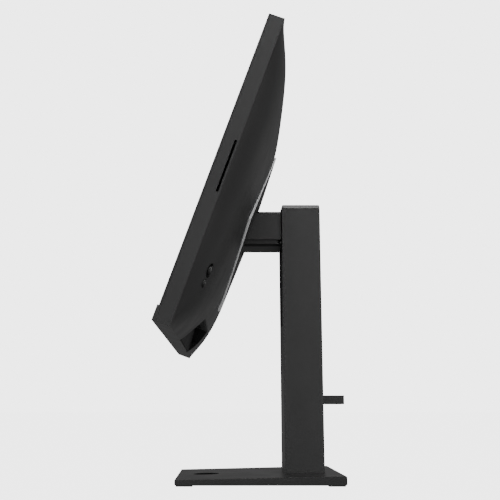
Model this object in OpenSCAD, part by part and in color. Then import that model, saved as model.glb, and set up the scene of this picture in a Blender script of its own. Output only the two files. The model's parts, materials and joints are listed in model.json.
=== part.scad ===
// All in one computer: a flat 27 inch screen head with the computer inside,
// on a height-adjustable stand with a tilt hinge.
// Millimetres, +Z up, the screen faces -Y, +X is the user's right.
// The origin is on the desk under the middle of the base plate.

/* [Screen head] */
// Width of the screen head
head_w = 613; // [590:1:625]
// Height of the screen head
head_h = 359; // [350:1:366]
// Depth of the flat band round the head's edge
band_t = 18.4; // [18:0.1:20]
// How far the rear cover bulges beyond the band
bulge_t = 31.5; // [30:0.5:34]
// Wall of the plastic covers
wall = 2.5; // [2:0.1:3]
// Height of the chin strip below the screen
chin_h = 17.5; // [14:0.5:20]
// How far the chin strip stands in front of the screen
chin_proud = 1.9; // [1:0.1:3]

/* [Pose] */
// How far the screen leans back as modelled
tilt_rest = 20; // [15:1:20]
// Height of the tilt axis above the desk, arm fully up
pivot_z = 337.7; // [330:0.1:345]
// Distance of the tilt axis from the base's middle, along Y
pivot_y = -21.7; // [-26:0.1:-20]
// Depth of the tilt axis behind the screen's front
pivot_t = 37.2; // [36:0.1:38]
// How far the arm can travel down
lift_travel = 100; // [80:1:100]

/* [Stand] */
// Width of the base plate
base_w = 212; // [190:1:240]
// Depth of the base plate
base_d = 209; // [200:1:230]
// Height of the base's top at the front edge
base_front_z = 7.9; // [7.5:0.1:9]
// Height of the base's top at the rear edge
base_rear_z = 12.7; // [12:0.1:14]
// Height of the rubber feet
foot_h = 1.4; // [1:0.1:2]
// Width of the column
column_w = 68; // [66:1:76]
// Depth of the column
column_d = 51.2; // [50:0.1:56]
// Distance of the column's front face behind the base's middle
column_y = 34; // [33:0.1:36]
// Height of the column's top above the desk
column_z = 364.2; // [362:0.1:370]

/* [Arm] */
// Width of the arm
arm_w = 58; // [54:1:58]
// Height of the arm
arm_h = 47.5; // [44:0.5:48]
// Height of the arm's top above the tilt axis
arm_above = 18; // [17:0.5:18]

/* [Hidden] */
$fn = 48;

// Screen head outline, measured from the tilt axis
half_w = head_w / 2;
top_z = head_h / 2;
bottom_z = -head_h / 2;
skirt_t = band_t - 1.5;        // the rear cover starts here
frame_front_t = 2.5;           // the side frame starts here
frame_wall = 3;

// Rear cover's cushion shape
side_power = 11;               // how square the sides of the cushion are
top_power = 6.5;
bottom_power = 5;
bottom_reach = 182;            // depth below the axis at which the lower curve would meet the band
crown = 0.3;                   // how much the cushion falls from its middle to its sides
grid_x = 18;
grid_z = 12;

// Diamond panel round the arm
diamond_x = 100;
diamond_top = 109;
diamond_bottom = 115;
diamond_t = 50.6;              // outer face of the diamond's rim
trim_w = 2.4;

// Port bay at the bottom of the rear cover
bay_w = 242;
bay_top_z = -141.5;
bay_corner_x = 25;             // width of the cut across its upper corners
bay_corner_z = -161;           // height at which that cut starts
bay_front_t = 20;

// Controls behind the lower right corner
control_x = 270;
joystick_z = -106;
button_z = -121;
cup_r = 8.4;

// Parts of the screen stack, as distances behind the screen's front
panel_t = [0.8, 2.4];
film_t = [2.4, 3.4];
guide_t = [3.4, 6.4];
tray_t = [6.4, 12];
chassis_t = [12, 13];
board_t = [18, 19.6];

// Blower
blower_x = -130;
blower_z = 80;
blower_r = 37;
rotor_r = 27;
blower_t = [16, 31];
bearing_r = 1.55;
shaft_r = 1.5;

// Base
inlay_d = 34;
inlay_y = -67.6;
base_slope = atan((base_rear_z - base_front_z) / base_d);
column_screw_places = [for (x = [-22, 22]) for (y = [column_y + 12, column_y + 40]) [x, y]];

// Column and carriage
column_wall = 2.6;
cap_h = 6;
slot_w = 35;
neck_w = 30;
slot_bottom_z = pivot_z + arm_above - arm_h - lift_travel - 6;
slot_top_z = column_z - cap_h;
arm_top_z = pivot_z + arm_above;
arm_bottom_z = arm_top_z - arm_h;
carriage_y = column_y + column_wall + 2;
carriage_d = 24;
carriage_w = 46;
rail_y = column_y + column_d - column_wall - 6;
strut_y = carriage_y + 12;
rod_r = 4;
rod_bore_r = 4.06;
rod_bottom_z = 128;

// Tilt hinge
pin_r = 4;
pin_bore_r = 4.05;
knuckle_r = 13;
knuckle_w = 34;
ear_w = 4;
washer_w = 1.2;
pin_head_w = 2;
pin_length = knuckle_w + 2 * (washer_w + ear_w + pin_head_w);

plastic = [0.13, 0.13, 0.13];
dark_plastic = [0.07, 0.07, 0.07];
steel = [0.6, 0.6, 0.62];
board_green = [0.05, 0.2, 0.12];

// ---------- helpers ----------

// The span of a size about its middle
function span(middle, size) = [middle - size / 2, middle + size / 2];

// A block centred on X, given by its depth and height spans
module block(w, y, z) {
    translate([-w / 2, y[0], z[0]]) cube([w, y[1] - y[0], z[1] - z[0]]);
}

// A block given by its three spans
module box_at(x, y, z) {
    translate([x[0], y[0], z[0]]) cube([x[1] - x[0], y[1] - y[0], z[1] - z[0]]);
}

// A cylinder along Y
module rod_y(r, y) {
    translate([0, y[1], 0]) rotate([90, 0, 0]) cylinder(r = r, h = y[1] - y[0]);
}

// A cylinder along X, centred
module rod_x(r, w) {
    rotate([0, 90, 0]) cylinder(r = r, h = w, center = true);
}

// The screen head's own frame: Y is the depth behind the screen, Z the height from the tilt axis
module in_head() {
    translate([0, pivot_y, pivot_z])
        rotate([-tilt_rest, 0, 0])
            translate([0, -pivot_t, 0])
                children();
}

// The tilt axis
module at_pivot() {
    translate([0, pivot_y, pivot_z]) children();
}

// Height of the base's top at a depth y
function base_top(y) =
    base_front_z + (base_rear_z - base_front_z) * (y + base_d / 2) / base_d;

// Depth of the rear cover's outside at a place on the head
function cushion_t(x, z) =
    let (u = min(1, abs(x) / half_w),
         top_fall = pow(min(1, abs(z) / top_z), top_power),
         bottom_fall = pow(abs(z) / bottom_reach, bottom_power),
         across = (1 - pow(u, side_power)) * (1 - crown * pow(u, 1.5)))
    band_t + bulge_t * across * (1 - (z > 0 ? top_fall : bottom_fall));

// Places along a span, closer together near its ends
function eased(n, low, high) =
    [for (i = [0 : n]) (low + high) / 2 - (high - low) / 2 * cos(180 * i / n)];

// The cushion as a shell: its outside, its inside and a flat-edged skirt between them
module cushion_shell() {
    xs = eased(grid_x, -half_w, half_w);
    zs = eased(grid_z, bottom_z, top_z);
    shrink_x = 1 - frame_wall / half_w;
    shrink_z = 1 - frame_wall / top_z;
    columns = grid_x + 1;
    count = columns * (grid_z + 1);
    last = grid_z * columns;
    outer = [for (z = zs) for (x = xs) [x, cushion_t(x, z), z]];
    inner = [for (p = outer) [p[0] * shrink_x, max(skirt_t + 0.6, p[1] - wall), p[2] * shrink_z]];
    // the grid's edge, all the way round
    edge = concat(
        [for (i = [0 : grid_x - 1]) i],
        [for (j = [0 : grid_z - 1]) j * columns + grid_x],
        [for (i = [grid_x : -1 : 1]) last + i],
        [for (j = [grid_z : -1 : 1]) j * columns]);
    edge_count = len(edge);
    outer_skirt = [for (i = edge) [outer[i][0], skirt_t, outer[i][2]]];
    inner_skirt = [for (i = edge) [inner[i][0], skirt_t, inner[i][2]]];
    front = [for (j = [0 : grid_z - 1]) for (i = [0 : grid_x - 1])
        let (a = j * columns + i, b = a + 1, c = b + columns, d = a + columns)
        each [[a, b, c], [a, c, d]]];
    back = [for (face = front) [face[2] + count, face[1] + count, face[0] + count]];
    strips = [for (k = [0 : edge_count - 1])
        let (n = (k + 1) % edge_count,
             o = 2 * count, i = 2 * count + edge_count)
        each [
            [o + k, o + n, edge[n]], [o + k, edge[n], edge[k]],
            [i + k, i + n, o + n], [i + k, o + n, o + k],
            [count + edge[k], count + edge[n], i + n], [count + edge[k], i + n, i + k]]];
    polyhedron(concat(outer, inner, outer_skirt, inner_skirt), concat(front, back, strips));
}

// The diamond outline, grown by a margin, extruded over a depth span
module diamond(margin, y) {
    grow = margin * 1.42;
    translate([0, y[1], 0])
        rotate([90, 0, 0])
            linear_extrude(y[1] - y[0])
                polygon([
                    [diamond_x + grow, -3],
                    [0, diamond_top + grow],
                    [-diamond_x - grow, -3],
                    [0, -diamond_bottom - grow]]);
}

// The port bay's space, grown by a margin, from its front wall out through the back
module bay_space(margin, front) {
    far = band_t + bulge_t + 6;
    side = bay_w / 2 + margin;
    turn = 0.4 * margin;       // keeps the cut corners the margin apart too
    translate([0, far, 0])
        rotate([90, 0, 0])
            linear_extrude(far - front)
                polygon([
                    [-side, bottom_z - 8],
                    [side, bottom_z - 8],
                    [side, bay_corner_z + turn],
                    [side - bay_corner_x - margin + turn, bay_top_z + margin],
                    [-side + bay_corner_x + margin - turn, bay_top_z + margin],
                    [-side, bay_corner_z + turn]]);
}

// ---------- stand ----------

// The base's outline seen from the side, over a width
module base_wedge(width, inset, low_z, drop) {
    front = -base_d / 2 + inset;
    rear = base_d / 2 - inset;
    translate([-width / 2, 0, 0])
        rotate([90, 0, 90])
            linear_extrude(width)
                polygon([
                    [front + 1.6, low_z],
                    [front, low_z + 1.6],
                    [front, base_top(front) - drop],
                    [rear - 1.2, base_top(rear - 1.2) - drop],
                    [rear, base_top(rear) - drop - 1.2],
                    [rear, low_z + 1.6],
                    [rear - 1.6, low_z]]);
}

module base_plate() {
    color(plastic)
        difference() {
            base_wedge(base_w, 0, foot_h, 0);
            // hollow underside for the weight and its cover
            translate([-base_w / 2 + 6, -base_d / 2 + 8, -1])
                cube([base_w - 12, base_d - 16, foot_h + 1 + 3.4]);
            // round seat of the inlay
            translate([0, inlay_y, base_top(inlay_y) - 0.8])
                rotate([base_slope, 0, 0])
                    cylinder(d = inlay_d, h = 6);
            for (p = column_screw_places)
                translate([p[0], p[1], 0]) cylinder(r = 2.6, h = 30);
        }
}

module base_inlay() {
    color(dark_plastic)
        translate([0, inlay_y, base_top(inlay_y) - 0.8])
            rotate([base_slope, 0, 0])
                cylinder(d = inlay_d - 0.2, h = 0.7);
}

module base_weight() {
    color(steel)
        difference() {
            translate([-base_w / 2 + 10, -base_d / 2 + 12, foot_h + 1.4])
                cube([base_w - 20, base_d - 24, 1.9]);
            for (p = column_screw_places)
                translate([p[0], p[1], 0]) cylinder(r = 5, h = 30);
        }
}

module base_cover() {
    color(dark_plastic)
        difference() {
            translate([-base_w / 2 + 6.3, -base_d / 2 + 8.3, foot_h])
                cube([base_w - 12.6, base_d - 16.6, 1.3]);
            for (p = column_screw_places)
                translate([p[0], p[1], 0]) cylinder(r = 5, h = 30);
        }
}

module rubber_feet() {
    foot_w = 34;
    foot_d = 20;
    color(dark_plastic)
        for (x = [-1, 1]) for (y = [-1, 1])
            translate([x * (base_w / 2 - 3 - foot_w / 2), y * (base_d / 2 - 1.8 - foot_d / 2), 0])
                translate([-foot_w / 2, -foot_d / 2, 0])
                    cube([foot_w, foot_d, foot_h]);
}

module base_screws() {
    color(steel)
        for (p = column_screw_places)
            translate([p[0], p[1], foot_h + 1.4]) {
                cylinder(r = 4.2, h = 2);
                cylinder(r = 2.5, h = 16);
            }
}

module column_shell() {
    low_z = base_top(column_y + column_d);
    high_z = column_z - cap_h;
    color(plastic)
        difference() {
            union() {
                difference() {
                    translate([-column_w / 2, column_y, low_z])
                        cube([column_w, column_d, high_z - low_z]);
                    translate([-column_w / 2 + column_wall, column_y + column_wall, low_z + 10])
                        cube([column_w - 2 * column_wall, column_d - 2 * column_wall, high_z]);
                }
                // foot under the wedge of the base's top
                base_foot();
            }
            // front slot for the arm's neck
            translate([-slot_w / 2, column_y - 1, slot_bottom_z])
                cube([slot_w, column_wall + 2, slot_top_z - slot_bottom_z + 1]);
            for (p = column_screw_places)
                translate([p[0], p[1], 0]) cylinder(r = 2.52, h = low_z + 8);
            clip_screw_holes(1.55);
        }
}

// Fills the thin wedge between the sloping base and the column's level foot
module base_foot() {
    front_z = base_top(column_y);
    rear_z = base_top(column_y + column_d);
    translate([-column_w / 2, 0, 0])
        rotate([90, 0, 90])
            linear_extrude(column_w)
                polygon([
                    [column_y, front_z],
                    [column_y + column_d, rear_z],
                    [column_y + column_d, rear_z + 1],
                    [column_y, rear_z + 1]]);
}

module column_cap() {
    side_bevel = 2.2;
    end_bevel = 0.6;
    color(plastic)
        difference() {
            union() {
                hull() {
                    translate([-column_w / 2, column_y, column_z - cap_h])
                        cube([column_w, column_d, 1]);
                    translate([-column_w / 2 + side_bevel, column_y + end_bevel, column_z - 0.5])
                        cube([column_w - 2 * side_bevel, column_d - 2 * end_bevel, 0.5]);
                }
                // locating lip inside the column
                translate([-column_w / 2 + column_wall + 0.2, column_y + 8, column_z - cap_h - 2])
                    cube([column_w - 2 * column_wall - 0.4, column_d - 10.8, 3]);
            }
            translate([-column_w / 2 + 5, column_y + 11, column_z - cap_h - 3])
                cube([column_w - 10, column_d - 17, 6]);
        }
}

module guide_rail() {
    rail_low = base_top(column_y + column_d) + 10;
    rail_h = column_z - cap_h - 4 - rail_low;
    color(steel)
        difference() {
            // a C-section rail: its web on the column's rear wall, its lips towards the arm
            translate([0, rail_y, rail_low]) {
                translate([-17, 4, 0]) cube([34, 2, rail_h]);
                for (x = [-17, 15]) translate([x, -4, 0]) cube([2, 8, rail_h]);
                for (x = [-17, 9]) translate([x, -6, 0]) cube([8, 2, rail_h]);
            }
            clip_screw_holes(1.55);
        }
}

module strut_cylinder() {
    low = base_top(column_y + column_d) + 10;
    high = arm_bottom_z - lift_travel - 6;
    color([0.1, 0.1, 0.1])
        translate([0, strut_y, 0])
            difference() {
                translate([0, 0, low]) cylinder(r = 8, h = high - low);
                translate([0, 0, low - 4 + 8]) cylinder(r = rod_bore_r, h = high);
            }
}

clip_z = 104.3;
clip_h = 11.4;
clip_reach = 28.3;
clip_w = 46;
clip_gap = 7;

// A loop behind the column that holds the cables, open at the back
module cable_clip() {
    rear = column_y + column_d;
    color([0.22, 0.22, 0.22])
        difference() {
            translate([-clip_w / 2, rear, clip_z - clip_h / 2])
                cube([clip_w, clip_reach, clip_h]);
            translate([-clip_w / 2 + 3.5, rear + 3.5, clip_z - clip_h])
                cube([clip_w - 7, clip_reach - 7, 2 * clip_h]);
            translate([-clip_gap / 2, rear + clip_reach - 6, clip_z - clip_h])
                cube([clip_gap, 10, 2 * clip_h]);
            clip_screw_holes(1.65);
        }
}

module clip_screw_holes(r) {
    for (x = [-12, 12])
        translate([x, 0, clip_z])
            rod_y(r, [column_y + column_d - 7, column_y + column_d + 5]);
}

module clip_screws() {
    rear = column_y + column_d;
    color(steel)
        for (x = [-12, 12])
            translate([x, 0, clip_z]) {
                rod_y(1.5, [rear - 5, rear + 4]);
                rod_y(2.8, [rear + 3.5, rear + 5]);
            }
}

// ---------- arm ----------

module carriage() {
    color([0.3, 0.3, 0.32])
        difference() {
            union() {
                translate([-carriage_w / 2, carriage_y, arm_bottom_z + 3])
                    cube([carriage_w, carriage_d, arm_h - 6]);
                // neck through the column's slot
                translate([-neck_w / 2, column_y - 2, arm_bottom_z + 5])
                    cube([neck_w, column_wall + 5, arm_h - 10]);
                // tongue that runs in the guide rail
                translate([-8, carriage_y + carriage_d - 1, arm_bottom_z + 3])
                    cube([16, rail_y + 3 - carriage_y - carriage_d + 1, arm_h - 6]);
            }
            translate([0, strut_y, arm_bottom_z - 1]) cylinder(r = rod_r + 0.02, h = 14);
        }
}

module guide_pads() {
    color([0.85, 0.85, 0.8])
        for (x = [-1, 1]) for (z = [arm_bottom_z + 6, arm_top_z - 14])
            translate([x * 10.3 - 2.3, rail_y - 1.4, z])
                cube([4.6, 4, 8]);
}

module strut_rod() {
    color([0.75, 0.75, 0.78])
        translate([0, strut_y, rod_bottom_z])
            cylinder(r = rod_r, h = arm_bottom_z + 13 - rod_bottom_z);
}

arm_front_y = pivot_y + 1;
arm_rear_y = column_y - 0.6;
arm_wall = 2.4;
arm_side_z = arm_bottom_z + 8.6;         // lower edge of the arm's sides

// The arm's upper shell, open below
module arm_shell() {
    edge = 1.8;
    color(plastic)
        difference() {
            hull() {
                translate([-arm_w / 2 + edge, arm_front_y, arm_top_z - 1])
                    cube([arm_w - 2 * edge, arm_rear_y - arm_front_y, 1]);
                translate([-arm_w / 2, arm_front_y, arm_side_z])
                    cube([arm_w, arm_rear_y - arm_front_y, arm_top_z - edge - arm_side_z]);
            }
            translate([-arm_w / 2 + arm_wall, arm_front_y - 1, arm_bottom_z - 1])
                cube([arm_w - 2 * arm_wall, arm_rear_y - arm_front_y - 3, arm_h - arm_wall + 1]);
            // window for the neck
            translate([-neck_w / 2 - 0.5, arm_rear_y - 5, arm_bottom_z + 4])
                cube([neck_w + 1, 8, arm_h - 8]);
        }
}

// The arm's lower cover: a bevelled floor, set off from the sides by a recessed band
module arm_cover() {
    bevel = 4;
    floor_h = 3.5;
    inset = arm_wall + 0.2;
    length = arm_rear_y - arm_front_y;
    color(dark_plastic)
        difference() {
            union() {
                hull() {
                    translate([-arm_w / 2, arm_front_y, arm_bottom_z + floor_h - 0.5])
                        cube([arm_w, length, 0.5]);
                    translate([-arm_w / 2 + bevel, arm_front_y, arm_bottom_z])
                        cube([arm_w - 2 * bevel, length, 0.5]);
                }
                // recessed band, which goes up inside the shell
                translate([-arm_w / 2 + inset, arm_front_y, arm_bottom_z + 1])
                    cube([arm_w - 2 * inset, length - 4.2, arm_side_z - arm_bottom_z]);
            }
            translate([-arm_w / 2 + 6, arm_front_y - 1, arm_bottom_z + 2.2])
                cube([arm_w - 12, length - 1.5, 12]);
        }
}

// The hinge's fixed half: a barrel on a bar that runs back to the carriage
module hinge_knuckle() {
    color(steel)
        difference() {
            union() {
                at_pivot() rod_x(knuckle_r, knuckle_w);
                translate([-knuckle_w / 2 + 3, pivot_y, pivot_z - 10])
                    cube([knuckle_w - 6, column_y - 2.2 - pivot_y, 20]);
            }
            at_pivot() rod_x(pin_bore_r, knuckle_w + 2);
        }
}

module hinge_pin() {
    color([0.75, 0.75, 0.78])
        at_pivot() {
            rod_x(pin_r, pin_length);
            for (x = [-1, 1]) translate([x * (pin_length - pin_head_w) / 2, 0, 0]) rod_x(6, pin_head_w);
        }
}

module friction_washers() {
    color([0.5, 0.45, 0.3])
        at_pivot()
            for (x = [-1, 1])
                translate([x * (knuckle_w / 2 + washer_w / 2), 0, 0])
                    difference() {
                        rod_x(9, washer_w);
                        rod_x(pin_bore_r, washer_w + 1);
                    }
}

// ---------- screen head: screen ----------

module mid_frame() {
    slot_h = 60;
    color(plastic)
        in_head()
            difference() {
                block(head_w, [frame_front_t, skirt_t], [bottom_z, top_z]);
                block(head_w - 2 * frame_wall, [0, band_t + 1],
                      [bottom_z + frame_wall, top_z - frame_wall]);
                block(head_w + 2, [slot_t - 1.35, slot_t + 1.35],
                      [slot_z - slot_h / 2, slot_z + slot_h / 2]);
            }
}

slot_t = 15;
slot_z = 1;

// Fine mesh strips behind the slots in the head's sides
module slot_mesh() {
    mesh_w = 1;
    color(dark_plastic)
        in_head()
            for (side = [-1, 1])
                translate([side * (half_w - frame_wall - mesh_w / 2), 0, 0])
                    difference() {
                        block(mesh_w, [slot_t - 1.9, slot_t + 1.7], [slot_z - 32, slot_z + 32]);
                        for (i = [-11 : 11])
                            block(mesh_w + 2, [slot_t - 0.6, slot_t + 0.6],
                                  [slot_z + 2.6 * i - 0.7, slot_z + 2.6 * i + 0.7]);
                    }
}

module front_bezel() {
    lip = 5;
    color(dark_plastic)
        in_head()
            difference() {
                block(head_w, [0, frame_front_t], [bottom_z + chin_h, top_z]);
                block(head_w - 2 * lip, [-1, 0.8], [bottom_z + chin_h - 1, top_z - lip]);
                block(head_w - 2 * lip + 2, [0.7, frame_front_t + 1],
                      [bottom_z + chin_h - 1, top_z - lip + 1]);
            }
}

module chin_trim() {
    color(plastic)
        in_head()
            block(head_w, [-chin_proud, frame_front_t], [bottom_z, bottom_z + chin_h]);
}

screen_w = 603;
screen_low = bottom_z + chin_h + 0.2;
screen_high = top_z - 4.6;

module lcd_panel() {
    color([0.02, 0.02, 0.03])
        in_head() block(screen_w, panel_t, [screen_low, screen_high]);
}

module optical_films() {
    color([0.9, 0.9, 0.95])
        in_head() block(screen_w - 4, film_t, [screen_low + 2, screen_high - 2]);
}

module light_guide() {
    color([0.8, 0.9, 0.95])
        in_head() block(screen_w - 4, guide_t, [screen_low + 8, screen_high - 2]);
}

module led_bar() {
    color([0.95, 0.95, 0.8])
        in_head() {
            block(screen_w - 8, guide_t, [screen_low + 3, screen_low + 4.4]);
            for (i = [-14 : 14])
                translate([i * 20, 0, 0])
                    block(5, [guide_t[0] + 0.4, guide_t[1] - 0.4], [screen_low + 4.4, screen_low + 6]);
        }
}

// A pressed tray with a rim in front and a grid of ribs behind
module backlight_tray() {
    sheet = 0.6;
    pocket_x = screen_w / 4;
    pocket_z = (screen_high - screen_low) / 3;
    color(steel)
        in_head()
            difference() {
                block(screen_w, [film_t[0] + 0.2, tray_t[1]], [screen_low, screen_high]);
                block(screen_w - 2 * sheet, [0, tray_t[0]], [screen_low + sheet, screen_high - sheet]);
                for (i = [-1.5 : 1.5]) for (j = [0 : 2])
                    translate([i * pocket_x, 0, 0])
                        block(pocket_x - 2 * sheet, [tray_t[0] + sheet, tray_t[1] + 1],
                              [screen_low + j * pocket_z + sheet, screen_low + (j + 1) * pocket_z - sheet]);
            }
}

module chassis() {
    color([0.5, 0.5, 0.52])
        in_head()
            difference() {
                block(head_w - 2 * frame_wall - 0.6, chassis_t,
                      [bottom_z + frame_wall + 0.3, top_z - frame_wall - 0.3]);
                for (x = [-1, 1])
                    for (z = [-60, 100])
                        translate([x * 240, 0, 0])
                            block(60, [0, 30], [z - 20, z + 20]);
                for (p = hinge_screw_places)
                    translate([p[0], 0, p[1]]) rod_y(2, [0, 30]);
            }
}

// ---------- screen head: hinge ----------

bracket_w = 92;
bracket_h = 88;
bracket_t = 3;
hinge_screw_places = [for (x = [-37.5, 37.5]) for (z = [-37.5, 37.5]) [x, z]];
ear_x = knuckle_w / 2 + washer_w + ear_w / 2;

// The hinge's moving half: a plate on the chassis with two ears round the knuckle
module hinge_bracket() {
    plate = [chassis_t[1], chassis_t[1] + bracket_t];
    color(steel)
        in_head()
            difference() {
                union() {
                    block(bracket_w, plate, [-bracket_h / 2, bracket_h / 2]);
                    for (side = [-1, 1])
                        translate([side * ear_x, 0, 0]) {
                            block(ear_w, [plate[0], pivot_t], [-11, 11]);
                            translate([0, pivot_t, 0]) rod_x(11, ear_w);
                        }
                }
                translate([0, pivot_t, 0]) rod_x(pin_r + 0.02, 100);
                for (p = hinge_screw_places)
                    translate([p[0], 0, p[1]]) rod_y(2.1, [plate[0] - 1, plate[1] + 1]);
            }
}

module hinge_screws() {
    color([0.3, 0.3, 0.32])
        in_head()
            for (p = hinge_screw_places)
                translate([p[0], 0, p[1]]) {
                    rod_y(1.95, [chassis_t[0], chassis_t[1] + bracket_t + 1]);
                    rod_y(3.6, [chassis_t[1] + bracket_t, chassis_t[1] + bracket_t + 2.2]);
                }
}

// ---------- screen head: rear ----------

module rear_cover() {
    color(plastic)
        in_head()
            difference() {
                cushion_shell();
                diamond(trim_w + 0.2, [40, 60]);
                bay_space(0.2, bay_front_t - 0.2);
                translate([control_x, 0, joystick_z]) rod_y(cup_r, [20, 60]);
                translate([control_x, 0, button_z]) rod_y(button_r + 0.4, [20, 60]);
            }
}

arm_window = [-34, 30];
window_w = 66;

// The plate inside the bright trim, with the window that the arm passes through
module diamond_panel() {
    color(dark_plastic)
        in_head()
            difference() {
                union() {
                    diamond(-0.2, [diamond_t - 3.4, diamond_t]);
                    diamond(-8, [diamond_t - 1, diamond_t + 0.9]);
                }
                block(window_w, [30, 70], arm_window);
            }
}

module trim_ring() {
    color([0.75, 0.75, 0.77])
        in_head()
            difference() {
                diamond(trim_w, [diamond_t - 4, diamond_t + 0.4]);
                diamond(0, [diamond_t - 6, diamond_t + 2]);
            }
}

// The recess that holds the connectors: its front wall, ends and ceiling
module port_bay() {
    skin = 1.8;
    color(dark_plastic)
        in_head()
            difference() {
                intersection() {
                    bay_space(0, bay_front_t);
                    bay_profile();
                }
                bay_space(-skin, bay_front_t + skin);
                for (p = port_places)
                    box_at([p[0] - p[1] / 2 - 0.2, p[0] + p[1] / 2 + 0.2],
                           [port_t - p[2] / 2 - 0.2, port_t + p[2] / 2 + 0.2],
                           [bay_top_z - 6, bay_top_z + 6]);
                box_at(inlet_x, [port_t - 5.2, port_t + 5.2], [bay_top_z - 6, bay_top_z + 6]);
                translate([network_x, 0, 0])
                    block(network_w + 0.4, span(port_t, network_d + 0.4),
                          [bay_top_z - 6, bay_top_z + 6]);
            }
}

// The bay's side outline, just inside the rear cover's curve
module bay_profile() {
    low = bottom_z + 2;
    gap = 0.5;
    steps = 4;
    translate([-bay_w / 2 - 1, 0, 0])
        rotate([90, 0, 90])
            linear_extrude(bay_w + 2)
                polygon(concat(
                    [[bay_front_t - 1, low], [bay_front_t - 1, bay_top_z + 1]],
                    [for (k = [0 : steps])
                        let (z = bay_top_z + 1 + (low - bay_top_z - 1) * k / steps)
                        [cushion_t(bay_w / 2, z) - gap, z]]));
}

// Middle, width and thickness of each connector
port_t = 28;
port_places = [
    [-48, 15, 5.5], [-27, 15, 5.5],          // video
    [-6, 9, 3.2], [9, 9, 3.2],               // small bus
    [28, 13, 6], [46, 13, 6], [64, 13, 6]];  // large bus
network_x = 85;
network_w = 16;
network_d = 11.5;
inlet_x = [-90, -68];

module port_board() {
    color(board_green)
        in_head() block(200, [bay_front_t, bay_front_t + 1.6], [bay_top_z + 2.2, bay_top_z + 30]);
}

// Metal shells with a contact tongue in each
module port_connectors() {
    shell = 0.6;
    color([0.7, 0.7, 0.72])
        in_head()
            for (p = port_places)
                translate([p[0], 0, 0]) {
                    difference() {
                        block(p[1], span(port_t, p[2]), [bay_top_z - 0.6, bay_top_z + 16]);
                        block(p[1] - 2 * shell, span(port_t, p[2] - 2 * shell),
                              [bay_top_z - 3, bay_top_z + 9]);
                    }
                    block(p[1] - 4, span(port_t, 0.2 * p[2]), [bay_top_z + 0.4, bay_top_z + 9.5]);
                }
}

module network_port() {
    shell = 0.8;
    color([0.7, 0.7, 0.72])
        in_head()
            translate([network_x, 0, 0])
                difference() {
                    block(network_w, span(port_t, network_d),
                          [bay_top_z - 0.6, bay_top_z + 14]);
                    block(network_w - 2 * shell, span(port_t, network_d - 2 * shell),
                          [bay_top_z - 3, bay_top_z + 10]);
                }
}

module power_inlet() {
    color(dark_plastic)
        in_head()
            difference() {
                box_at([inlet_x[0] + 0.3, inlet_x[1] - 0.3], [port_t - 5, port_t + 5],
                       [bay_top_z - 1.6, bay_top_z + 18]);
                translate([(inlet_x[0] + inlet_x[1]) / 2, port_t, bay_top_z - 3])
                    cylinder(r = 3.7, h = 12);
            }
}

// ---------- screen head: computer ----------

board_x = [66, 236];
board_z = [-112, 52];
cpu = [140, -20];

module mainboard() {
    color(board_green)
        in_head()
            difference() {
                union() {
                    box_at(board_x, board_t, board_z);
                    // processor, chips and coils
                    box_at([cpu[0] - 19, cpu[0] + 19], [board_t[1], board_t[1] + 2],
                           [cpu[1] - 19, cpu[1] + 19]);
                    for (i = [0 : 4])
                        box_at([cpu[0] - 30 + 12 * i, cpu[0] - 22 + 12 * i],
                               [board_t[1], board_t[1] + 4], [12, 20]);
                }
                for (p = board_screw_places)
                    translate([p[0], 0, p[1]]) rod_y(1.6, [board_t[0] - 1, board_t[1] + 1]);
            }
}

board_screw_places = [for (x = [board_x[0] + 5, board_x[1] - 5])
    for (z = [board_z[0] + 5, board_z[1] - 5]) [x, z]];

module board_screws() {
    color([0.7, 0.7, 0.72])
        in_head()
            for (p = board_screw_places)
                translate([p[0], 0, p[1]]) {
                    rod_y(1.5, [chassis_t[1], board_t[1] + 1]);
                    rod_y(2.8, [board_t[1], board_t[1] + 1.6]);
                    rod_y(3, [chassis_t[1], board_t[0]]);
                }
}

module cold_plate() {
    color([0.8, 0.5, 0.3])
        in_head()
            box_at([cpu[0] - 22, cpu[0] + 22], [board_t[1] + 2, board_t[1] + 4],
                   [cpu[1] - 22, cpu[1] + 22]);
}

pipe_t = board_t[1] + 6.6;
pipe_z = 88;

// Two copper pipes from the cold plate to the fin stack
module heat_pipes() {
    pipe_r = 2.6;
    color([0.85, 0.5, 0.3])
        in_head()
            for (i = [0, 1])
                translate([0, pipe_t, 0]) {
                    translate([cpu[0] - 7 + 14 * i, 0, cpu[1] - 20])
                        cylinder(r = pipe_r, h = pipe_z - 10 * i - cpu[1] + 20);
                    translate([fin_x[0] + 2, 0, pipe_z - 10 * i])
                        rotate([0, 90, 0])
                            cylinder(r = pipe_r, h = cpu[0] - 7 + 14 * i - fin_x[0] - 2);
                    translate([cpu[0] - 7 + 14 * i, 0, pipe_z - 10 * i]) sphere(r = pipe_r);
                }
}

fin_x = [-88, -60];

module fin_stack() {
    fin_count = 14;
    pitch = (fin_x[1] - fin_x[0]) / fin_count;
    color([0.7, 0.7, 0.72])
        in_head()
            difference() {
                box_at(fin_x, [18, 31], [58, 108]);
                for (i = [0 : fin_count - 2])
                    box_at([fin_x[0] + 0.7 + pitch * i, fin_x[0] + pitch * (i + 1)],
                           [19, 40], [57, 109]);
                for (i = [0, 1])
                    translate([0, pipe_t, pipe_z - 10 * i])
                        rotate([0, 90, 0]) translate([0, 0, fin_x[0] - 1]) cylinder(r = 2.8, h = 40);
            }
}

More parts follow.
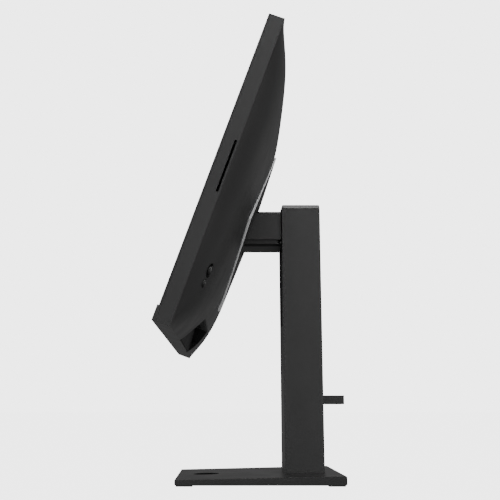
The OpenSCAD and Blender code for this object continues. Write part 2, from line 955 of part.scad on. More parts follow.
module blower_housing() {
    skin = 1.2;
    color(dark_plastic)
        in_head()
            translate([blower_x, 0, blower_z])
                difference() {
                    union() {
                        rod_y(blower_r, blower_t);
                        box_at([0, fin_x[0] - blower_x - 0.3], blower_t, [-22, 28]);
                    }
                    rod_y(blower_r - skin, [blower_t[0] + skin, blower_t[1] - skin]);
                    box_at([0, 60], [blower_t[0] + skin, blower_t[1] - skin], [-22 + skin, 28 - skin]);
                    rod_y(rotor_r - 6, [blower_t[1] - 3, blower_t[1] + 1]);
                    rod_y(bearing_r, [blower_t[0] - 1, blower_t[0] + 3]);
                }
}

module fan_rotor() {
    blade_count = 19;
    color([0.15, 0.15, 0.16])
        in_head()
            translate([blower_x, 0, blower_z]) {
                rod_y(shaft_r, [blower_t[0] + 0.1, blower_t[0] + 4]);
                rod_y(12, [blower_t[0] + 2.4, blower_t[1] - 2]);
                difference() {
                    rod_y(rotor_r, [blower_t[0] + 2.4, blower_t[0] + 3.4]);
                    rod_y(11, [blower_t[0], blower_t[1]]);
                }
                for (i = [0 : blade_count - 1])
                    rotate([0, 360 / blade_count * i, 0])
                        translate([11, blower_t[0] + 3, 0])
                            rotate([0, 18, 0])
                                cube([rotor_r - 11.5, blower_t[1] - blower_t[0] - 5.2, 0.9]);
            }
}

module memory_modules() {
    color(board_green)
        in_head()
            for (i = [0, 1])
                box_at([165, 232], [board_t[1] + 0.6 + 5 * i, board_t[1] + 3.4 + 5 * i], [-60, -30]);
}

module ssd_module() {
    color([0.1, 0.1, 0.12])
        in_head() box_at([150, 230], [board_t[1] + 0.4, board_t[1] + 2.8], [-96, -74]);
}

module power_board() {
    color([0.35, 0.25, 0.1])
        in_head() box_at([-226, -76], board_t, [-110, 20]);
}

// Transformers, capacitors and heat sink of the power board
module power_parts() {
    color([0.2, 0.2, 0.25])
        in_head() {
            box_at([-160, -128], [board_t[1], board_t[1] + 14], [-62, -34]);
            box_at([-118, -94], [board_t[1], board_t[1] + 12], [-96, -72]);
            box_at([-214, -208], [board_t[1], board_t[1] + 14], [-96, 6]);
            for (z = [-90, -72, -54])
                translate([-190, board_t[1] + 6, z])
                    cylinder(r = 6, h = 14);
            for (x = [-178, -164, -150])
                translate([x, 0, -6]) rod_y(5, [board_t[1], board_t[1] + 12]);
        }
}

module speakers() {
    color(dark_plastic)
        in_head()
            for (side = [-1, 1])
                translate([side * 216, 0, -144])
                    difference() {
                        block(56, [chassis_t[1] + 0.6, 24], [-14, 14]);
                        translate([0, 0, -20]) cylinder(r = 3.6, h = 10);
                    }
}

module antennas() {
    color([0.8, 0.7, 0.4])
        in_head()
            for (x = [-150, 150])
                translate([x, 0, 0]) block(42, [chassis_t[1] + 0.6, chassis_t[1] + 1.6], [150, 166]);
}

// ---------- screen head: controls ----------

button_r = 4.6;
button_travel = 0.9;
control_back = 24;                       // front face of the control board's switches
joystick_out = cushion_t(control_x, joystick_z);
button_out = cushion_t(control_x, button_z);

module control_board() {
    color(board_green)
        in_head() {
            box_at([control_x - 12, control_x + 12], [control_back - 5, control_back - 3.6],
                   [button_z - 8, joystick_z + 12]);
            // switch under the power button
            box_at([control_x - 3, control_x + 3], [control_back - 3.6, control_back - 1.2],
                   [button_z - 3, button_z + 3]);
            // two posts that carry the gimbal
            for (side = [-1, 1])
                difference() {
                    box_at([control_x - 2, control_x + 2], [control_back - 3.6, control_back + 2.4],
                           [joystick_z + side * 8.6 - 0.9, joystick_z + side * 8.6 + 0.9]);
                    translate([control_x, control_back, joystick_z - 12])
                        cylinder(r = 1.05, h = 24);
                }
        }
}

// The power button: a cap with a stem down to its switch
module power_button() {
    color(plastic)
        in_head()
            translate([control_x, 0, button_z]) {
                rod_y(button_r, [button_out - 3.4, button_out + 1.4]);
                rod_y(1.5, [control_back - 1.2 + button_travel, button_out - 3]);
            }
}

// A ring on two stub pins; it turns from side to side
module joystick_gimbal() {
    color([0.6, 0.6, 0.62])
        in_head()
            translate([control_x, control_back, joystick_z])
                difference() {
                    union() {
                        rod_y(6.6, [-1.6, 1.6]);
                        translate([0, 0, -9.2]) cylinder(r = 1, h = 18.4);
                    }
                    rod_y(4.6, [-3, 3]);
                    rod_x(0.85, 20);
                }
}

// The thumb stick: a knurled cap on a stem, on its own cross pin
module joystick_cap() {
    cap_r = 5.6;
    color(plastic)
        in_head()
            translate([control_x, 0, joystick_z]) {
                rod_y(1.8, [control_back - 1.5, joystick_out - 1]);
                rod_y(3, [control_back - 1.4, control_back + 1.4]);
                translate([0, control_back, 0]) rod_x(0.8, 12.6);
                difference() {
                    rod_y(cap_r, [joystick_out - 1.6, joystick_out + 1.8]);
                    translate([0, joystick_out + 6.6, 0]) sphere(r = 5.6);
                }
            }
}

base_plate();
base_cover();
base_weight();
rubber_feet();
base_inlay();
base_screws();
column_shell();
column_cap();
guide_rail();
strut_cylinder();
cable_clip();
clip_screws();
carriage();
guide_pads();
strut_rod();
arm_shell();
arm_cover();
hinge_knuckle();
hinge_pin();
friction_washers();
mid_frame();
front_bezel();
chin_trim();
lcd_panel();
optical_films();
light_guide();
backlight_tray();
led_bar();
chassis();
hinge_bracket();
hinge_screws();
rear_cover();
diamond_panel();
trim_ring();
port_bay();
port_board();
port_connectors();
network_port();
power_inlet();
mainboard();
cold_plate();
heat_pipes();
fin_stack();
blower_housing();
memory_modules();
ssd_module();
power_board();
power_parts();
speakers();
antennas();
slot_mesh();
control_board();
board_screws();
fan_rotor();
power_button();
joystick_gimbal();
joystick_cap();
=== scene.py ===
"""The looks of the all in one computer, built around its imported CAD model. Metres, row frame."""
import json
import math

import bmesh
import bpy
from mathutils import Matrix, Vector

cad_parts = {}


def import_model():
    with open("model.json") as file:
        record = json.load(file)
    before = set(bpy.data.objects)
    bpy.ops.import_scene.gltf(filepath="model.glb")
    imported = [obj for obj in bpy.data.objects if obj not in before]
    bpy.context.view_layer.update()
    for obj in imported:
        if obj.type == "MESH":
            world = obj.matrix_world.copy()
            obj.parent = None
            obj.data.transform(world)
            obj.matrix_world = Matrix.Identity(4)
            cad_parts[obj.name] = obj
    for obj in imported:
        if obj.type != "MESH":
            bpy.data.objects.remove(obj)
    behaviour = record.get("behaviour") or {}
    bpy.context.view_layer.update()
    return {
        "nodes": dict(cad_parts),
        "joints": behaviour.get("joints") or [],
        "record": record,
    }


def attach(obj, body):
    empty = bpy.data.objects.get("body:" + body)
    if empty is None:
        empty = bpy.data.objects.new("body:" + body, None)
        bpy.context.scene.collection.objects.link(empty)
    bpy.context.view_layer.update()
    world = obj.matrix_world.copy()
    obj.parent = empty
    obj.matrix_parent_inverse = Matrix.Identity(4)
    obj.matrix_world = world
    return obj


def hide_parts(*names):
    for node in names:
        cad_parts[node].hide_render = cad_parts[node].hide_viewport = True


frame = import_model()

# ---------------------------------------------------------------- the screen head's own frame
# Its axes: X across, depth T behind the screen's front, Z up from the tilt axis.
TILT_REST = math.radians(20)
PIVOT = Vector(next(j for j in frame["joints"] if j["name"] == "tilt")["pos_m"])
PIVOT_T = 0.0372
HEAD = (
    Matrix.Translation(PIVOT)
    @ Matrix.Rotation(-TILT_REST, 4, "X")
    @ Matrix.Translation((0, -PIVOT_T, 0))
)

HALF_W = 0.3065
TOP_Z = 0.1795
BOTTOM_Z = -0.1795
BAND_T = 0.0184                   # depth of the straight side band
BULGE_T = 0.0315                  # how far the cover's middle stands behind the band
SKIRT_T = BAND_T - 0.0015         # where the cover starts, inside the band
SKIRT_LIP = 0.0006                # the least depth of the cover's inside past its start
WALL = 0.0025
FRAME_WALL = 0.003
BOTTOM_REACH = 0.182              # where the lower curve would meet the band
CROWN = 0.3                       # how much the cushion falls from its middle to its sides

# How late each fall of the cushion starts: a higher power keeps it flat for longer.
SIDE_POWER = 11
CROWN_POWER = 1.5
TOP_POWER = 6.5
BOTTOM_POWER = 5

BAY_OUTLINE = ((-0.1212, -0.20), (0.1212, -0.20), (0.1212, -0.1609), (0.0961, -0.1413),
               (-0.0961, -0.1413), (-0.1212, -0.1609))
BAY_FRONT_T = 0.0198
CONTROL_X = 0.270
JOYSTICK_Z = -0.106
JOYSTICK_SINK = 0.0016            # how deep the cap's underside sits in the cover
CUP_R = 0.0084
BUTTON_Z = -0.121
BUTTON_SINK = 0.0034
BUTTON_R = 0.0050
DIAMOND = ((0.100, -0.003), (0.0, 0.109), (-0.100, -0.003), (0.0, -0.115))


def cushion_t(x, z):
    """Depth of the rear cover's outside at a place on the head."""
    u = min(1.0, abs(x) / HALF_W)
    across = (1 - u**SIDE_POWER) * (1 - CROWN * u**CROWN_POWER)
    if z > 0:
        fall = min(1.0, z / TOP_Z) ** TOP_POWER
    else:
        fall = (-z / BOTTOM_REACH) ** BOTTOM_POWER
    return BAND_T + BULGE_T * across * (1 - fall)


# ---------------------------------------------------------------- mesh helpers
WELD = 0.000005                   # corners nearer than this are one corner after a cut
SAME_POINT = 0.000001             # the same, for a CAD mesh
FLAT_ANGLE = math.radians(1)      # CAD faces that meet flatter than this become one
ON_AXIS = 1e-7                    # a turned profile's point nearer than this is on its axis
HOLE_SIDES = 48
BEVEL_SEGMENTS = 2
BEVEL_ANGLE = math.radians(30)    # edges sharper than this are rounded
BEVELED_SHARP = 40                # degrees; edges above this still shade as sharp afterwards
ONLY_BY_AREA = 100                # a face's area alone decides how it sets the normals


def link(name, mesh, body, material):
    """A new piece from a mesh that is already in the row frame."""
    piece = bpy.data.objects.new(name, mesh)
    bpy.context.scene.collection.objects.link(piece)
    mesh.materials.clear()
    mesh.materials.append(material)
    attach(piece, body)
    return piece


def smooth(mesh, angle=35):
    """Smooth shading with edges sharper than the angle kept sharp."""
    mesh.shade_smooth()
    mesh.set_sharp_from_angle(angle=math.radians(angle))


def from_bmesh(bm, name, place=None):
    """The mesh of a bmesh, moved to its place."""
    if place is not None:
        bmesh.ops.transform(bm, matrix=place, verts=bm.verts)
    bmesh.ops.recalc_face_normals(bm, faces=bm.faces)
    mesh = bpy.data.meshes.new(name)
    bm.to_mesh(mesh)
    bm.free()
    return mesh


def apply_modifiers(piece):
    """Bakes a piece's modifiers into its mesh."""
    graph = bpy.context.evaluated_depsgraph_get()
    graph.update()
    baked = bpy.data.meshes.new_from_object(piece.evaluated_get(graph))
    piece.modifiers.clear()
    piece.data = baked


def bevel(piece, width):
    """Rounds a piece's sharp edges."""
    mod = piece.modifiers.new("round", "BEVEL")
    mod.width = width
    mod.segments = BEVEL_SEGMENTS
    mod.limit_method = "ANGLE"
    mod.angle_limit = BEVEL_ANGLE
    mod.use_clamp_overlap = True
    apply_modifiers(piece)
    smooth(piece.data, BEVELED_SHARP)
    keep_flats_flat(piece)


def keep_flats_flat(piece):
    """Lets the large faces set the normals, so that they don't shade as if they were curved."""
    mod = piece.modifiers.new("flats", "WEIGHTED_NORMAL")
    mod.mode = "FACE_AREA"
    mod.weight = ONLY_BY_AREA
    mod.keep_sharp = True
    apply_modifiers(piece)


def refined(node, width):
    """A CAD node's shape with softened edges, standing for that node. No width only cleans its mesh."""
    source = frame["nodes"][node]
    bm = bmesh.new()
    bm.from_mesh(source.data)
    bmesh.ops.remove_doubles(bm, verts=bm.verts, dist=SAME_POINT)
    bmesh.ops.dissolve_limit(bm, angle_limit=FLAT_ANGLE, verts=bm.verts, edges=bm.edges)
    mesh = from_bmesh(bm, node + "_soft")
    piece = link(node + "_soft", mesh, NODE_BODY[node], node_material(node))
    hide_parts(node)
    if width > 0:
        bevel(piece, width)
    else:
        smooth(piece.data)


def weld(piece):
    """Joins the doubled corners of a mesh and drops the slivers without area."""
    bm = bmesh.new()
    bm.from_mesh(piece.data)
    bmesh.ops.remove_doubles(bm, verts=bm.verts, dist=WELD)
    bmesh.ops.dissolve_degenerate(bm, edges=bm.edges, dist=WELD)
    bmesh.ops.triangulate(bm, faces=[face for face in bm.faces if len(face.verts) > 4])
    bmesh.ops.dissolve_degenerate(bm, edges=bm.edges, dist=WELD)
    bm.to_mesh(piece.data)
    bm.free()


def cut(piece, cutters):
    """Takes the cutters' space out of a piece."""
    for cutter in cutters:
        mod = piece.modifiers.new("cut", "BOOLEAN")
        mod.operation = "DIFFERENCE"
        mod.object = cutter
        mod.solver = "EXACT"
        apply_modifiers(piece)
        bpy.data.objects.remove(cutter, do_unlink=True)
    weld(piece)


def prism(outline, low, high, place):
    """A cutter: an (x, z) outline from one depth to another."""
    bm = bmesh.new()
    near = [bm.verts.new((x, low, z)) for x, z in outline]
    far = [bm.verts.new((x, high, z)) for x, z in outline]
    bm.faces.new(near)
    bm.faces.new(list(reversed(far)))
    count = len(outline)
    for i in range(count):
        j = (i + 1) % count
        bm.faces.new((near[i], far[i], far[j], near[j]))
    piece = bpy.data.objects.new("cutter", from_bmesh(bm, "cutter", place))
    bpy.context.scene.collection.objects.link(piece)
    return piece


def circle(x, z, radius):
    """An outline round a point."""
    turns = [2 * math.pi * i / HOLE_SIDES for i in range(HOLE_SIDES)]
    return [(x + radius * math.cos(a), z + radius * math.sin(a)) for a in turns]


def lathe(profile, place, name, count):
    """A shape turned about its own Y axis from (radius, y) points."""
    bm = bmesh.new()
    rings = []
    for radius, y in profile:
        if radius < ON_AXIS:
            rings.append([bm.verts.new((0, y, 0))])
            continue
        ring = []
        for i in range(count):
            a = 2 * math.pi * i / count
            ring.append(bm.verts.new((radius * math.cos(a), y, radius * math.sin(a))))
        rings.append(ring)
    for a, b in zip(rings, rings[1:]):
        for i in range(count):
            j = (i + 1) % count
            corners = [a[i % len(a)], a[j % len(a)], b[j % len(b)], b[i % len(b)]]
            unique = list(dict.fromkeys(corners))
            if len(unique) > 2:
                bm.faces.new(unique)
    return from_bmesh(bm, name, place)


# ---------------------------------------------------------------- materials
NOISE_LOW = 0.3                   # the span of a noise's values that a ramp spreads out
NOISE_HIGH = 0.7

CLOUD_SCALE = 14                  # colour clouding of plastic, in waves to a metre
GLOSS_SCALE = 30
GRAIN_STRENGTH = 0.35
PIT_SCALE = 0.45                  # pits to a metre, as a share of the grain's
PIT_STRENGTH = 0.2

BRUSH_SCALE = 1400
BRUSH_STRETCH = 0.02              # how fast the lines change along their length, as a share of across
BRUSH_GLOSS_SCALE = 60
BRUSH_STRENGTH = 0.2
BRUSH_DEPTH = 0.00003


class Nodes:
    """A few short ways to add shader nodes to one material."""

    def __init__(self, name):
        self.material = bpy.data.materials.new(name)
        self.material.use_nodes = True
        self.tree = self.material.node_tree
        self.shader = self.tree.nodes["Principled BSDF"]
        self.coords = self.tree.nodes.new("ShaderNodeTexCoord").outputs["Object"]

    def set(self, **values):
        """Sets sockets of the main shader, with _ for a space in a socket's name."""
        for key, value in values.items():
            self.shader.inputs[key.replace("_", " ")].default_value = value

    def noise(self, scale, detail, rough=0.5, stretch=None):
        """Soft noise, stretched along an axis where its stretch is small."""
        coords = self.coords
        if stretch:
            mapping = self.tree.nodes.new("ShaderNodeMapping")
            mapping.inputs["Scale"].default_value = stretch
            self.tree.links.new(coords, mapping.inputs["Vector"])
            coords = mapping.outputs["Vector"]
        node = self.tree.nodes.new("ShaderNodeTexNoise")
        node.inputs["Scale"].default_value = scale
        node.inputs["Detail"].default_value = detail
        node.inputs["Roughness"].default_value = rough
        self.tree.links.new(coords, node.inputs["Vector"])
        return node.outputs["Fac"]

    def cells(self, scale):
        """Distance to the nearest of many scattered points."""
        node = self.tree.nodes.new("ShaderNodeTexVoronoi")
        node.inputs["Scale"].default_value = scale
        self.tree.links.new(self.coords, node.inputs["Vector"])
        return node.outputs["Distance"]

    def ramp(self, value, low, high):
        """Maps the middle span of a noise between two numbers or two colours."""
        if isinstance(low, tuple):
            node = self.tree.nodes.new("ShaderNodeValToRGB")
            node.color_ramp.elements[0].position = NOISE_LOW
            node.color_ramp.elements[0].color = (*low, 1)
            node.color_ramp.elements[1].position = NOISE_HIGH
            node.color_ramp.elements[1].color = (*high, 1)
            self.tree.links.new(value, node.inputs["Fac"])
            return node.outputs["Color"]
        node = self.tree.nodes.new("ShaderNodeMapRange")
        node.inputs["From Min"].default_value = NOISE_LOW
        node.inputs["From Max"].default_value = NOISE_HIGH
        node.inputs["To Min"].default_value = low
        node.inputs["To Max"].default_value = high
        self.tree.links.new(value, node.inputs["Value"])
        return node.outputs["Result"]

    def to(self, output, socket):
        """Links an output to a socket of the main shader."""
        self.tree.links.new(output, self.shader.inputs[socket])

    def bump(self, height, strength, distance, under=None):
        """Relief from a height, on top of another relief if there is one."""
        node = self.tree.nodes.new("ShaderNodeBump")
        node.inputs["Strength"].default_value = strength
        node.inputs["Distance"].default_value = distance
        self.tree.links.new(height, node.inputs["Height"])
        if under is not None:
            self.tree.links.new(under, node.inputs["Normal"])
        self.tree.links.new(node.outputs["Normal"], self.shader.inputs["Normal"])
        return node.outputs["Normal"]


def grained(name, dark, light, rough, grain, depth, spec=0.5, metallic=0.0):
    """Moulded plastic or powder coat: fine grain, faint clouding in colour and gloss."""
    n = Nodes(name)
    n.set(Metallic=metallic, Specular_IOR_Level=spec)
    n.to(n.ramp(n.noise(CLOUD_SCALE, 3), dark, light), "Base Color")
    n.to(n.ramp(n.noise(GLOSS_SCALE, 4), rough[0], rough[1]), "Roughness")
    fine = n.bump(n.noise(grain, 2, 0.6), GRAIN_STRENGTH, depth)
    n.bump(n.cells(grain * PIT_SCALE), PIT_STRENGTH, depth, fine)
    return n.material


def brushed(name, dark, light, rough, along, metallic=1.0):
    """Drawn or brushed metal with its lines along one axis."""
    n = Nodes(name)
    n.set(Metallic=metallic)
    stretch = [1.0, 1.0, 1.0]
    stretch["XYZ".index(along)] = BRUSH_STRETCH
    lines = n.noise(BRUSH_SCALE, 3, 0.6, stretch)
    n.to(n.ramp(lines, dark, light), "Base Color")
    n.to(n.ramp(n.noise(BRUSH_GLOSS_SCALE, 4), rough[0], rough[1]), "Roughness")
    n.bump(lines, BRUSH_STRENGTH, BRUSH_DEPTH)
    return n.material


def grey(value):
    """A grey with a trace of blue."""
    return (value, value, value * 1.01)


MATERIALS = {
    "satin_black": grained("satin_black", grey(0.018), grey(0.022), (0.38, 0.45), 2600, 0.00004),
    "soft_black": grained("soft_black", grey(0.009), grey(0.012), (0.48, 0.56), 3000, 0.00003),
    "plate_black": grained("plate_black", grey(0.018), grey(0.022), (0.30, 0.37), 2200, 0.00003),
    "rubber_black": grained("rubber_black", grey(0.014), grey(0.020), (0.72, 0.85), 1500, 0.00005, 0.3),
    "part_black": grained("part_black", grey(0.022), grey(0.032), (0.45, 0.6), 1800, 0.00004),
    "pad_white": grained("pad_white", (0.72, 0.72, 0.68), (0.8, 0.8, 0.76), (0.4, 0.5), 1400, 0.00002),
    "film_white": grained("film_white", (0.8, 0.82, 0.86), (0.86, 0.88, 0.92), (0.3, 0.4), 900, 0.00001),
    "acrylic": grained("acrylic", (0.7, 0.78, 0.82), (0.76, 0.84, 0.88), (0.12, 0.2), 400, 0.00001),
    "glass_panel": grained("glass_panel", grey(0.0050), grey(0.0056), (0.27, 0.29), 5200, 0.000001, 0.55),
    "cast_alloy": grained("cast_alloy", grey(0.28), grey(0.36), (0.42, 0.55), 1100, 0.00006, 0.5, 1.0),
    "sheet_steel": brushed("sheet_steel", grey(0.46), grey(0.56), (0.3, 0.42), "X"),
    "bright_steel": brushed("bright_steel", grey(0.62), grey(0.72), (0.18, 0.28), "Z"),
    "trim_metal": brushed("trim_metal", grey(0.86), grey(0.94), (0.30, 0.38), "Z", 0.15),
    "fin_metal": brushed("fin_metal", grey(0.6), grey(0.7), (0.25, 0.4), "Z"),
    "connector_metal": brushed("connector_metal", grey(0.5), grey(0.6), (0.25, 0.36), "Z"),
    "bronze": brushed("bronze", (0.45, 0.33, 0.16), (0.55, 0.42, 0.22), (0.35, 0.5), "Y"),
    "copper": brushed("copper", (0.66, 0.33, 0.2), (0.78, 0.42, 0.27), (0.25, 0.38), "X"),
    "board_green": grained("board_green", (0.012, 0.09, 0.045), (0.02, 0.14, 0.07), (0.3, 0.42), 700,
                           0.00003),
}

NODE_SLOT = {s["node"]: s["material_slot"] for s in frame["record"]["subparts"]}
NODE_BODY = {
    node: body
    for body, nodes in frame["record"]["behaviour"]["bodies"].items()
    for node in nodes
}

# The base's inlay is dark in its own colour; the port bay, slot mesh and control board get painted shade,
# a darker colour standing in for the shade they lie in.
INLAY_AND_PAINTED_SHADE = {
    "base_inlay": grained("inlay_black", grey(0.003), grey(0.005), (0.70, 0.80), 3600, 0.00002, 0.02),
    # Painted shade: these three are coloured darker for the shade in the bay, the slot and behind the
    # cover.
    "port_bay": grained("bay_painted_shade", grey(0.008), grey(0.012), (0.60, 0.70), 2400, 0.00003, 0.3),
    "slot_mesh": grained("mesh_painted_shade", grey(0.002), grey(0.004), (0.75, 0.85), 2000, 0.00002, 0.02),
    "control_board": grained("board_painted_shade", grey(0.006), grey(0.010), (0.45, 0.55), 900, 0.00002),
}


def node_material(node):
    """A node's finish: its slot's, or a darker one, which is the inlay's own colour or painted shade for
    the pieces that lie in shade.
    """
    return INLAY_AND_PAINTED_SHADE.get(node, MATERIALS[NODE_SLOT[node]])


for node_name, node_object in frame["nodes"].items():
    for material_slot in node_object.material_slots:
        material_slot.material = node_material(node_name)


# ---------------------------------------------------------------- rear cover
COVER_COLUMNS = 120
COVER_ROWS = 84
PANEL_MARGIN = 0.0026             # the diamond's opening stands off its outline by this
CORNER_SPREAD = 1.42              # and its corners move out by this times as much
PANEL_CUT = (0.040, 0.060)        # depths from and to which each opening is cut
BAY_CUT = (BAY_FRONT_T, 0.090)
CONTROL_CUT = (0.020, 0.060)
COVER_SHARP = 32


def eased(count, low, high):
    """Places along a span, closer together near its ends."""
    middle, half = (low + high) / 2, (high - low) / 2
    return [middle - half * math.cos(math.pi * i / count) for i in range(count + 1)]


def rear_cover():
    """The cushion-shaped rear cover: a fine shell with the CAD cover's openings."""
    columns, rows = COVER_COLUMNS, COVER_ROWS
    xs = eased(columns, -HALF_W, HALF_W)
    zs = eased(rows, BOTTOM_Z, TOP_Z)
    bm = bmesh.new()
    inset_x, inset_z = 1 - FRAME_WALL / HALF_W, 1 - FRAME_WALL / TOP_Z
    outer, inner = [], []
    for z in zs:
        outer.append([bm.verts.new((x, cushion_t(x, z), z)) for x in xs])
        inner.append([
            bm.verts.new((x * inset_x, max(SKIRT_T + SKIRT_LIP, cushion_t(x, z) - WALL), z * inset_z))
            for x in xs
        ])
    for grid in (outer, inner):
        for j in range(rows):
            for i in range(columns):
                bm.faces.new((grid[j][i], grid[j][i + 1], grid[j + 1][i + 1], grid[j + 1][i]))

    def rim(grid):
        """The corners round a grid's edge, in order."""
        edge = [(0, i) for i in range(columns)]
        edge += [(j, columns) for j in range(rows)]
        edge += [(rows, i) for i in range(columns, 0, -1)]
        edge += [(j, 0) for j in range(rows, 0, -1)]
        return [grid[j][i] for j, i in edge]

    loops = [rim(outer)]
    for ring in (rim(outer), rim(inner)):
        loops.append([bm.verts.new((v.co.x, SKIRT_T, v.co.z)) for v in ring])
    loops.append(rim(inner))
    for a, b in zip(loops, loops[1:]):
        for i in range(len(a)):
            j = (i + 1) % len(a)
            bm.faces.new((a[i], a[j], b[j], b[i]))
    piece = link("rear_shell", from_bmesh(bm, "rear_shell", HEAD), "head",
                 MATERIALS["satin_black"])
    grow = PANEL_MARGIN * CORNER_SPREAD
    outline = [(x + math.copysign(grow, x) * (x != 0), z + math.copysign(grow, z) * (x == 0))
               for x, z in DIAMOND]
    cut(piece, [
        prism(outline, *PANEL_CUT, HEAD),
        prism(BAY_OUTLINE, *BAY_CUT, HEAD),
        prism(circle(CONTROL_X, JOYSTICK_Z, CUP_R), *CONTROL_CUT, HEAD),
        prism(circle(CONTROL_X, BUTTON_Z, BUTTON_R), *CONTROL_CUT, HEAD),
    ])
    smooth(piece.data, COVER_SHARP)
    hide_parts("rear_cover")


rear_cover()

# ---------------------------------------------------------------- softened CAD pieces
# The width of each piece's rounded edges.
SOFTENED = {
    "base_plate": 0.0007,
    "column_shell": 0.0012,
    "column_cap": 0.0008,
    "cable_clip": 0.0008,
    "arm_shell": 0.0007,
    "arm_cover": 0.0006,
    "mid_frame": 0.0004,
    "chin_trim": 0.0005,
    "front_bezel": 0.0003,
    "diamond_panel": 0.0004,
    "trim_ring": 0.0005,
    "port_bay": 0.0003,
    "base_inlay": 0.0002,
    "rubber_feet": 0.0003,
    "base_cover": 0.0003,
    "port_connectors": 0.0001,
    "network_port": 0.0001,
    "power_inlet": 0.0002,
    "heat_pipes": 0.0,
}
for node_name, edge_width in SOFTENED.items():
    refined(node_name, edge_width)


# ---------------------------------------------------------------- controls
# Each profile is a list of (radius, depth) points from the stem's end to the middle of the face.
JOYSTICK_PROFILE = [
    (0.0, -0.0090), (0.0018, -0.0090), (0.0018, 0.0), (0.0054, 0.0), (0.0056, 0.0006),
    (0.0056, 0.0026), (0.0050, 0.0034), (0.0040, 0.0034), (0.0030, 0.0029), (0.0, 0.0026),
]
BUTTON_PROFILE = [
    (0.0, -0.0036), (0.0015, -0.0036), (0.0015, 0.0), (0.0044, 0.0), (0.0046, 0.0004),
    (0.0046, 0.0042), (0.0042, 0.0048), (0.0032, 0.0047), (0.0, 0.0041),
]
JOYSTICK_SIDES = 96
BUTTON_SIDES = 64
CONTROL_SHARP = 30                # degrees; the controls' edges above this stay sharp


def head_place(x, t, z):
    """A place on the head, in the row frame."""
    return HEAD @ Matrix.Translation((x, t, z))


def joystick():
    """A thumb cap with a dished end, on its stem."""
    low = cushion_t(CONTROL_X, JOYSTICK_Z) - JOYSTICK_SINK
    place = head_place(CONTROL_X, low, JOYSTICK_Z)
    mesh = lathe(JOYSTICK_PROFILE, place, "joystick_knob", JOYSTICK_SIDES)
    piece = link("joystick_knob", mesh, "stick", MATERIALS["satin_black"])
    smooth(mesh, CONTROL_SHARP)
    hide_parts("joystick_cap")


def power_key():
    """A round key with a dished face and its stem."""
    low = cushion_t(CONTROL_X, BUTTON_Z) - BUTTON_SINK
    place = head_place(CONTROL_X, low, BUTTON_Z)
    mesh = lathe(BUTTON_PROFILE, place, "power_key", BUTTON_SIDES)
    piece = link("power_key", mesh, "power_key", MATERIALS["satin_black"])
    smooth(mesh, CONTROL_SHARP)
    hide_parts("power_button")


joystick()
power_key()


# ---------------------------------------------------------------- stage, light, camera
SKY_LIGHT = 0.187                 # the sky's strength as light on the object
SKY_SEEN = 4.0                    # and as the pale background
FLOOR_GLOW = 3.85
FLOOR_REACH = 30
FLOOR_CLOUDS = 3

CAMERA_PLACE = (1.2658, -0.0472, 0.0918)
CAMERA_UP = 0.1887                # radians above level
CAMERA_TURN = -0.0006             # radians away from looking straight along -X
LENS_LENGTH = 67.09               # millimetres, as is the sensor's width
SENSOR_WIDTH = 36
LENS_SHIFT = (0.0554, -0.037)
VIEW_REACH = 100

# Soft lights: place, the point each faces, its two sides, watts.
SOFTBOXES = {
    "key": ((2.6, 0.5, 1.3), (0, 0, 0.3), (1.4, 1.4), 4.8),
    "side": ((2.6, -0.9, 0.5), (0, 0, 0.25), (1.6, 1.4), 8),
    "high": ((1.2, 0.0, 2.4), (0, 0, 0.25), (1.6, 2.2), 1.7),
    "steep": ((0.75, 0.1, 1.5), (0, 0.05, 0.35), (0.5, 0.8), 12),
    "rear_low": ((1.8, 1.9, 0.2), (0, 0, 0.25), (1.2, 0.4), 25),
    "rear_side": ((2.6, 1.1, 0.25), (0, 0, 0.3), (0.9, 0.5), 2.5),
    "rear_back": ((0.9, 2.6, 0.3), (0, 0, 0.3), (0.8, 0.5), 3.2),
    "front_fill": ((-0.6, -2.6, 1.2), (0, 0, 0.3), (1.6, 1.2), 34),
}


def pale_floor_material():
    """A pale floor, evenly lit from within like a light table, so that it has no hard horizon.
    Its own colour is dark, so that the low lights leave no bright patches on it."""
    n = Nodes("floor_pale")
    n.to(n.ramp(n.noise(FLOOR_CLOUDS, 2), grey(0.05), grey(0.06)), "Base Color")
    n.set(Roughness=0.9, Specular_IOR_Level=0.0)
    n.set(Emission_Color=(1, 1, 1, 1), Emission_Strength=FLOOR_GLOW)
    return n.material


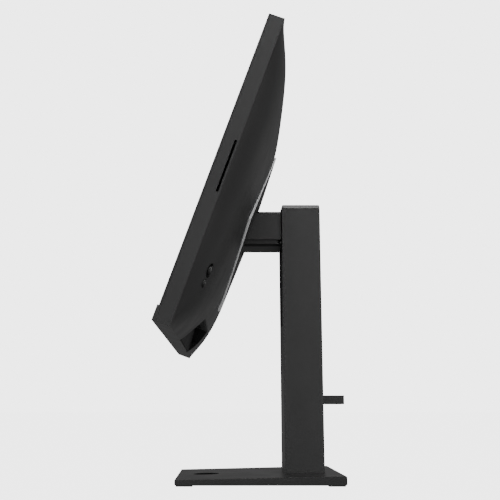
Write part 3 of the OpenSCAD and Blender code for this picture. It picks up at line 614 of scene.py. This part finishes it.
def floor():
    """The floor. It lights nothing, because its bounce would wash out the undersides."""
    bm = bmesh.new()
    bmesh.ops.create_grid(bm, x_segments=1, y_segments=1, size=FLOOR_REACH)
    mesh = bpy.data.meshes.new("floor")
    bm.to_mesh(mesh)
    bm.free()
    piece = bpy.data.objects.new("floor", mesh)
    bpy.context.scene.collection.objects.link(piece)
    mesh.materials.append(pale_floor_material())
    piece.visible_diffuse = False
    piece.visible_glossy = False


def softbox(name, place, target, size, power):
    """A soft rectangular light that the camera doesn't see."""
    lamp = bpy.data.lights.new(name, "AREA")
    lamp.shape = "RECTANGLE"
    lamp.size, lamp.size_y = size
    lamp.energy = power
    piece = bpy.data.objects.new(name, lamp)
    piece.location = place
    piece.rotation_euler = (Vector(target) - Vector(place)).to_track_quat("-Z", "Y").to_euler()
    piece.visible_camera = False
    bpy.context.scene.collection.objects.link(piece)


def world():
    """A white surround: dim as light, bright as background."""
    sky = bpy.data.worlds.new("studio")
    bpy.context.scene.world = sky
    sky.use_nodes = True
    tree = sky.node_tree
    background = tree.nodes["Background"]
    path = tree.nodes.new("ShaderNodeLightPath")
    strength = tree.nodes.new("ShaderNodeMapRange")
    strength.inputs["To Min"].default_value = SKY_LIGHT
    strength.inputs["To Max"].default_value = SKY_SEEN
    tree.links.new(path.outputs["Is Camera Ray"], strength.inputs["Value"])
    tree.links.new(strength.outputs["Result"], background.inputs["Strength"])
    background.inputs["Color"].default_value = (1, 1, 1, 1)


def camera():
    """The view from the user's right, a little from below."""
    lens = bpy.data.cameras.new("camera")
    lens.sensor_width = SENSOR_WIDTH
    lens.lens = LENS_LENGTH
    lens.shift_x, lens.shift_y = LENS_SHIFT
    lens.clip_end = VIEW_REACH
    piece = bpy.data.objects.new("camera", lens)
    piece.location = CAMERA_PLACE
    piece.rotation_euler = (math.pi / 2 + CAMERA_UP, 0, math.pi / 2 + CAMERA_TURN)
    bpy.context.scene.collection.objects.link(piece)
    bpy.context.scene.camera = piece


floor()
world()
for box_name, (box_place, box_target, box_size, box_power) in SOFTBOXES.items():
    softbox(box_name, box_place, box_target, box_size, box_power)
camera()
